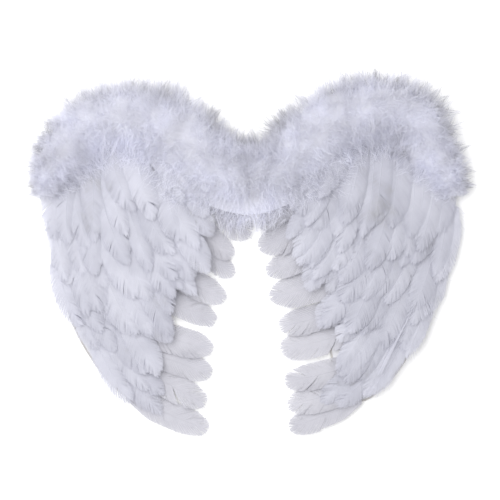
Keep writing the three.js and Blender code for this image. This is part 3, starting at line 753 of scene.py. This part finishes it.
def add_tufts(strips, rng, wing, root, way, length, spread, gather, strands, droop, tone, width):
    """Tufts of tapered strands that start round roots and gather, some to a point, along ways."""
    of = np.repeat(np.arange(len(root)), strands)
    count = len(of)
    start = root[of] + rng.normal(0, 1, (count, 3)) * spread[of, None]
    tip = (root + way * length[:, None])[of] + rng.normal(0, 1, (count, 3)) * (spread * gather)[of, None]
    tip = start + (tip - start) * rng.uniform(0.55, 1.1, count)[:, None]
    middle = (start + tip) / 2 + rng.normal(0, 0.13, (count, 3)) * length[of, None]
    tip[:, 2] -= droop[of] * length[of]
    s = np.linspace(0, 1, 4)[None, :, None]
    path = (1 - s) ** 2 * start[:, None] + 2 * s * (1 - s) * middle[:, None] + s**2 * tip[:, None]
    past = -wing["side"] * path[..., 0]
    bent = -wing["side"] * MIDDLE_BEND * np.tanh(past / MIDDLE_BEND)
    path[..., 0] = np.where(past > 0, bent, path[..., 0])
    path[..., 2] = np.maximum(path[..., 2], STRAND_FLOOR)
    over = path[..., 2] - TUFT_TOP
    path[..., 2] = np.where(over > 0, TUFT_TOP + TOP_BEND * np.tanh(over / TOP_BEND), path[..., 2])
    flat = np.cross(tip - start, rng.normal(0, 1, (count, 3)))
    flat /= np.linalg.norm(flat, axis=1, keepdims=True)
    half = flat[:, None] * width / 2 * (1 - 0.75 * s)
    strips.add(path - half, path + half, tone[of] + rng.normal(0, 0.1, count))


def trim_tufts(wing, strips, rng):
    """Tufts all over the body: spiky along its outer side, rounder on top, combed over the feathers."""
    share = rng.uniform(TUFTS_FROM, 1, TUFTS)
    turn = rng.uniform(*TUFT_TURNS, TUFTS)
    point, normal, along, outward, half = trim_point(wing, share, turn, CORE_SWELL)
    outer = smoothstep(-turn, -45, -15)
    inner = np.clip(turn / 90 - 1, 0, 1)
    lobes = 0.65 + 0.35 * np.sin(share * 173)
    stray = rng.uniform(-4, 11, TUFTS) * lobes * smoothstep(turn, 125, 172)
    point[:, :2] -= outward * stray[:, None]

    flat = np.zeros((TUFTS, 1))
    comb = np.concatenate([outward * np.tanh((90 - turn) / 30)[:, None], flat], 1)
    sweep = np.concatenate([along, flat], 1) * rng.normal(0.2, 0.5, TUFTS)[:, None]
    way = normal * (0.42 - 0.28 * inner)[:, None] + comb * (0.8 + 0.3 * inner)[:, None] + sweep
    way += rng.normal(0, 1, (TUFTS, 3)) * (0.3 - 0.18 * outer)[:, None]
    way /= np.linalg.norm(way, axis=1, keepdims=True)

    size = size_at(half)
    length = rng.uniform(*TUFT_LENGTH, TUFTS) + rng.uniform(*OUTER_LENGTH, TUFTS) * outer
    length = length * size * (1 + 0.3 * inner)
    length *= lerp(1, fill_at(wing, share) * rng.uniform(0.7, 1.5, TUFTS) ** 1.5, outer)
    gather = lerp(rng.uniform(0.7, 1.7, TUFTS), rng.uniform(0.03, 0.35, TUFTS), outer)
    droop = 0.08 + 0.1 * inner

    # Painted shade: darker at the outer side, and where the two wings' trims meet in a crease. Painted
    # light: lighter on the inner slope over the feathers, against the shade it gets there.
    tone = rng.normal(0.2, 0.15, TUFTS) - rng.uniform(0.6, 1.9, TUFTS) * smoothstep(-turn, -35, 0)
    seam_shade = smoothstep(-np.abs(point[:, 0]), -14, -2) * (turn > 40)
    tone += 0.6 * smoothstep(turn, 95, 150) - 0.45 * seam_shade
    spread = TUFT_SPREAD * size
    add_tufts(
        strips, rng, wing, point, way, length, spread, gather, TUFT_STRANDS, droop, tone, STRAND_WIDTH
    )


def stray_tufts(wing, strips, rng):
    """The few long tufts of the table that stick out of the down."""
    rows = [row for row in STRAYS if row[0] == wing["side"]]
    for side, out, up, lean, longest, count, tone in rows:
        root = np.repeat([[*place(side, out, up), FEATHER_FLOOR + TRIM_HEIGHT * 0.4]], count, 0)
        root[:, :2] += rng.normal(0, 4, (count, 2))
        turn = np.radians(lean + rng.normal(0, 12, count))
        way = np.stack([np.sin(turn), np.cos(turn), rng.normal(0.05, 0.1, count)], 1)
        length = longest * rng.uniform(0.6, 1.1, count)
        # The low tones of the table paint the strays' shade grey.
        spread, gather, droop, tones = (np.full(count, value) for value in (1.2, 0.7, 0.1, tone))
        add_tufts(
            strips, rng, wing, root, way, length, spread, gather, STRAY_STRANDS, droop, tones, STRAY_WIDTH
        )


def trim_piece(name, wing, material):
    rng = np.random.default_rng(3000 + (wing["side"] > 0))
    strips = Strips()
    trim_core(wing, strips)
    trim_tufts(wing, strips, rng)
    stray_tufts(wing, strips, rng)
    return strips.make(name, material)


# Panel and straps


def panel_piece(material):
    """A flat plate inside the outline, with its underside, its face and its edge."""
    count = len(OUTLINE)
    triangles = np.array(tessellate_polygon([[Vector((x, y, 0)) for x, y in OUTLINE]]))
    low = np.column_stack([OUTLINE, np.full(count, PANEL_BACK)])
    high = np.column_stack([OUTLINE, np.full(count, PANEL_FACE)])
    a, b, c = (high[triangles[0, k]] for k in range(3))
    if np.cross(b - a, c - a)[2] < 0:
        triangles = triangles[:, ::-1]
    i = np.arange(count)
    j = (i + 1) % count
    walls = [np.column_stack([i, j, j + count]), np.column_stack([i, j + count, i + count])]
    faces = np.concatenate([triangles[:, ::-1], triangles + count, *walls])
    return mesh_object("felt_panel", np.concatenate([low, high]), faces, material, smooth=False)


RIM_SIDES = 12
STRAP_POINTS = 90


def tube(name, path, radius, material):
    """A closed ring of tube along a flat closed path that lies on the ground."""
    sides = RIM_SIDES
    ahead = np.roll(path, -1, axis=0) - np.roll(path, 1, axis=0)
    ahead /= np.linalg.norm(ahead, axis=1, keepdims=True)
    normal = np.stack([-ahead[:, 1], ahead[:, 0]], 1)
    turn = np.arange(sides) / sides * 2 * np.pi
    xy = path[:, None] + normal[:, None] * (radius * np.cos(turn))[None, :, None]
    z = np.broadcast_to(radius + radius * np.sin(turn), (len(path), sides))
    points = np.concatenate([xy, z[..., None]], 2).reshape(-1, 3)
    i, k = np.meshgrid(np.arange(len(path)), np.arange(sides), indexing="ij")
    i2, k2 = (i + 1) % len(path), (k + 1) % sides
    faces = np.stack([i * sides + k, i2 * sides + k, i2 * sides + k2, i * sides + k2], -1).reshape(-1, 4)
    return mesh_object(name, points, faces, material)


def strap_path(wing):
    route = [place(wing["side"], out, up) for out, up in STRAP_ROUTE]
    return smooth_curve(route, np.linspace(0, 1, STRAP_POINTS))


def strap_piece(name, wing, material):
    """A flat band along its route, closed at both ends."""
    path = strap_path(wing)
    along = np.gradient(path, axis=0)
    along /= np.linalg.norm(along, axis=1, keepdims=True)
    normal = np.stack([-along[:, 1], along[:, 0]], 1) * STRAP_WIDTH / 2
    edge = np.stack([path - normal, path + normal], 1)
    low = np.concatenate([edge, np.zeros((STRAP_POINTS, 2, 1))], 2)
    high = np.concatenate([edge, np.full((STRAP_POINTS, 2, 1), STRAP_THICKNESS)], 2)
    points = np.concatenate([low, high], 1).reshape(-1, 3)
    faces = []
    for i in range(STRAP_POINTS - 1):
        a, b = i * 4, (i + 1) * 4
        faces += [(a, b, b + 1, a + 1), (a + 2, a + 3, b + 3, b + 2)]
        faces += [(a, a + 2, b + 2, b), (a + 1, b + 1, b + 3, a + 3)]
    end = (STRAP_POINTS - 1) * 4
    faces += [(0, 1, 3, 2), (end, end + 2, end + 3, end + 1)]
    return mesh_object(name, points, np.array(faces), material, smooth=False)


# Materials


def principled(name, roughness, sheen=0.0):
    material = bpy.data.materials.new(name)
    material.use_nodes = True
    shader = material.node_tree.nodes["Principled BSDF"]
    shader.inputs["Roughness"].default_value = roughness
    shader.inputs["Sheen Weight"].default_value = sheen
    return material, material.node_tree, shader


def add_node(tree, kind, **inputs):
    """A node of a tree, with the values of its named sockets."""
    node = tree.nodes.new(kind)
    for key, value in inputs.items():
        node.inputs[key.replace("_", " ")].default_value = value
    return node


def with_painted_shade_stop(stops):
    """Stops with a grey one below them: painted shade for the strands that stick out alone at the down's
    edge.
    """
    return [(0.0, (0.38, 0.375, 0.395)), *stops]


def ramp(tree, source, stops):
    node = tree.nodes.new("ShaderNodeValToRGB")
    elements = node.color_ramp.elements
    for element, (position, colour) in zip(elements, (stops[0], stops[-1])):
        element.position, element.color = position, (*colour, 1)
    for position, colour in stops[1:-1]:
        elements.new(position).color = (*colour, 1)
    tree.links.new(source, node.inputs["Fac"])
    return node.outputs["Color"]


# How much a mesh's tone moves a feather along its ramp, and the barbs' grooves in radians a ribbon
TONE_SHARE = 0.22
GROOVE_TURN = 18.85


def feather_material(name, dark, light, roughness, bump=0.15, translucence=0.25):
    """A shader that mixes a soft gloss with light from behind, mottled and toned by the mesh."""
    material, tree, shader = principled(name, roughness, sheen=0.15)
    place_at = tree.nodes.new("ShaderNodeTexCoord")
    mottle = add_node(tree, "ShaderNodeTexNoise", Scale=28.0, Detail=3.0)
    tree.links.new(place_at.outputs["Object"], mottle.inputs["Vector"])
    tone = tree.nodes.new("ShaderNodeAttribute")
    tone.attribute_name = "tone"
    total = add_node(tree, "ShaderNodeMath")
    total.operation = "MULTIPLY_ADD"
    total.inputs[1].default_value = TONE_SHARE
    tree.links.new(tone.outputs["Fac"], total.inputs[0])
    tree.links.new(mottle.outputs["Fac"], total.inputs[2])
    colour = ramp(tree, total.outputs[0], with_painted_shade_stop([(0.3, dark), (0.8, light)]))
    tree.links.new(colour, shader.inputs["Base Color"])
    line = tree.nodes.new("ShaderNodeAttribute")
    line.attribute_name = "line"
    wave = add_node(tree, "ShaderNodeMath")
    wave.operation = "MULTIPLY"
    wave.inputs[1].default_value = GROOVE_TURN
    tree.links.new(line.outputs["Fac"], wave.inputs[0])
    sine = add_node(tree, "ShaderNodeMath")
    sine.operation = "SINE"
    tree.links.new(wave.outputs[0], sine.inputs[0])
    relief = add_node(tree, "ShaderNodeBump", Strength=bump, Distance=0.0002)
    tree.links.new(sine.outputs[0], relief.inputs["Height"])
    tree.links.new(relief.outputs["Normal"], shader.inputs["Normal"])
    through = tree.nodes.new("ShaderNodeBsdfTranslucent")
    tree.links.new(colour, through.inputs["Color"])
    both = tree.nodes.new("ShaderNodeMixShader")
    both.inputs["Fac"].default_value = translucence
    tree.links.new(shader.outputs[0], both.inputs[1])
    tree.links.new(through.outputs[0], both.inputs[2])
    tree.links.new(both.outputs[0], tree.nodes["Material Output"].inputs["Surface"])
    return material


def cloth_material(name, dark, light, scale, roughness):
    """Cloth whose fibres show as fine noise in its colour and relief."""
    material, tree, shader = principled(name, roughness, sheen=0.2)
    place_at = tree.nodes.new("ShaderNodeTexCoord")
    fibre = add_node(tree, "ShaderNodeTexNoise", Scale=scale, Detail=6.0, Roughness=0.7)
    tree.links.new(place_at.outputs["Object"], fibre.inputs["Vector"])
    colour = ramp(tree, fibre.outputs["Fac"], [(0.3, dark), (0.7, light)])
    tree.links.new(colour, shader.inputs["Base Color"])
    relief = add_node(tree, "ShaderNodeBump", Strength=0.4, Distance=0.0003)
    tree.links.new(fibre.outputs["Fac"], relief.inputs["Height"])
    tree.links.new(relief.outputs["Normal"], shader.inputs["Normal"])
    return material


VANE = feather_material("covert_vane", (0.49, 0.493, 0.565), (0.6, 0.603, 0.675), 0.6)
FLIGHT_VANE = feather_material(
    "flight_vane", (0.42, 0.417, 0.465), (0.5, 0.496, 0.545), 0.55, translucence=0.12
)
DOWN = feather_material(
    "down_fluff", (0.68, 0.68, 0.735), (0.86, 0.865, 0.94), 0.9, bump=0.0, translucence=0.45
)
FELT = cloth_material("white_felt", (0.6, 0.6, 0.63), (0.7, 0.7, 0.73), 900.0, 0.95)
HEM = cloth_material("hem_felt", (0.36, 0.345, 0.34), (0.5, 0.485, 0.48), 900.0, 0.95)
ELASTIC = cloth_material("white_elastic", (0.7, 0.7, 0.72), (0.85, 0.85, 0.87), 500.0, 0.8)


# The object


def stand_in(piece, node):
    """Puts a piece in the place of a solid."""
    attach(piece, "root")
    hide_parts(node)


felt = panel_piece(FELT)
rim = tube("panel_rim", OUTLINE, RIM_DIAMETER / 2, HEM)
stand_in(felt, "backing_panel")
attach(rim, "root")
for name, wing in WINGS.items():
    strap = strap_piece(f"elastic_{name}", wing, ELASTIC)
    stand_in(strap, f"strap_{name}")
    route = strap_path(wing)
    for i in range(len(wing["flights"])):
        flight = flight_piece(f"flight_{name}_{i + 1}", wing, i, FLIGHT_VANE)
        stand_in(flight, f"flight_feather_{name}_{i + 1}")
    for row in range(ROW_COUNT):
        coverts = covert_piece(f"coverts_{name}_{row + 1}", wing, row, VANE)
        stand_in(coverts, f"covert_row_{name}_{row + 1}")
    stand_in(trim_piece(f"fluff_{name}", wing, DOWN), f"down_trim_{name}")


# Stage, light and camera

FLOOR_HALF = 4.0
floor_mesh = bpy.data.meshes.new("floor")
floor_corners = [(x * FLOOR_HALF, y * FLOOR_HALF, 0) for x, y in ((-1, -1), (1, -1), (1, 1), (-1, 1))]
floor_mesh.from_pydata(floor_corners, [], [(0, 1, 2, 3)])
floor = bpy.data.objects.new("floor", floor_mesh)
bpy.context.scene.collection.objects.link(floor)
floor_material, _, floor_shader = principled("pale_floor", 0.9)
floor_shader.inputs["Base Color"].default_value = (0.97, 0.97, 0.97, 1)
floor_mesh.materials.append(floor_material)

world = bpy.data.worlds.new("studio")
bpy.context.scene.world = world
world.use_nodes = True
world.node_tree.nodes["Background"].inputs["Color"].default_value = (1, 1, 1, 1)
world.node_tree.nodes["Background"].inputs["Strength"].default_value = 0.8


def softbox(name, location, size, energy):
    """A square white light that faces the origin, in metres and watts."""
    light = bpy.data.lights.new(name, "AREA")
    light.shape, light.size, light.energy = "SQUARE", size, energy
    obj = bpy.data.objects.new(name, light)
    obj.location = location
    obj.rotation_euler = (-Vector(location)).to_track_quat("-Z", "Y").to_euler()
    bpy.context.scene.collection.objects.link(obj)


softbox("key", (-0.56, 0.32, 1.15), 1.5, 21.5)
softbox("fill", (1.6, -0.8, 1.8), 1.8, 4.0)

# The wings span this many of the picture's pixels, and their middle is this far from the picture's.
PICTURE_PIXELS, SPAN_PIXELS = 500, 444
OFFSET_X, OFFSET_Y = 1, 4
PIXEL = 2 * HALF_SPAN / SPAN_PIXELS
CAMERA_LENS, SENSOR = 135.0, 36.0
# The picture's scale holds at this height over the floor, in metres.
SCALE_HEIGHT = 0.015
FRAME_WIDTH = PICTURE_PIXELS * PIXEL * 0.001
cam = bpy.data.objects.new("camera", bpy.data.cameras.new("camera"))
cam.data.lens, cam.data.sensor_width = CAMERA_LENS, SENSOR
cam.location = (
    (OFFSET_X * PIXEL + SHIFT_X) * 0.001,
    (OFFSET_Y * PIXEL + SHIFT_Y) * 0.001,
    FRAME_WIDTH * CAMERA_LENS / SENSOR + SCALE_HEIGHT,
)
bpy.context.scene.collection.objects.link(cam)
bpy.context.scene.camera = cam
bpy.context.scene.view_settings.view_transform = "Standard"
bpy.context.scene.view_settings.look = "None"
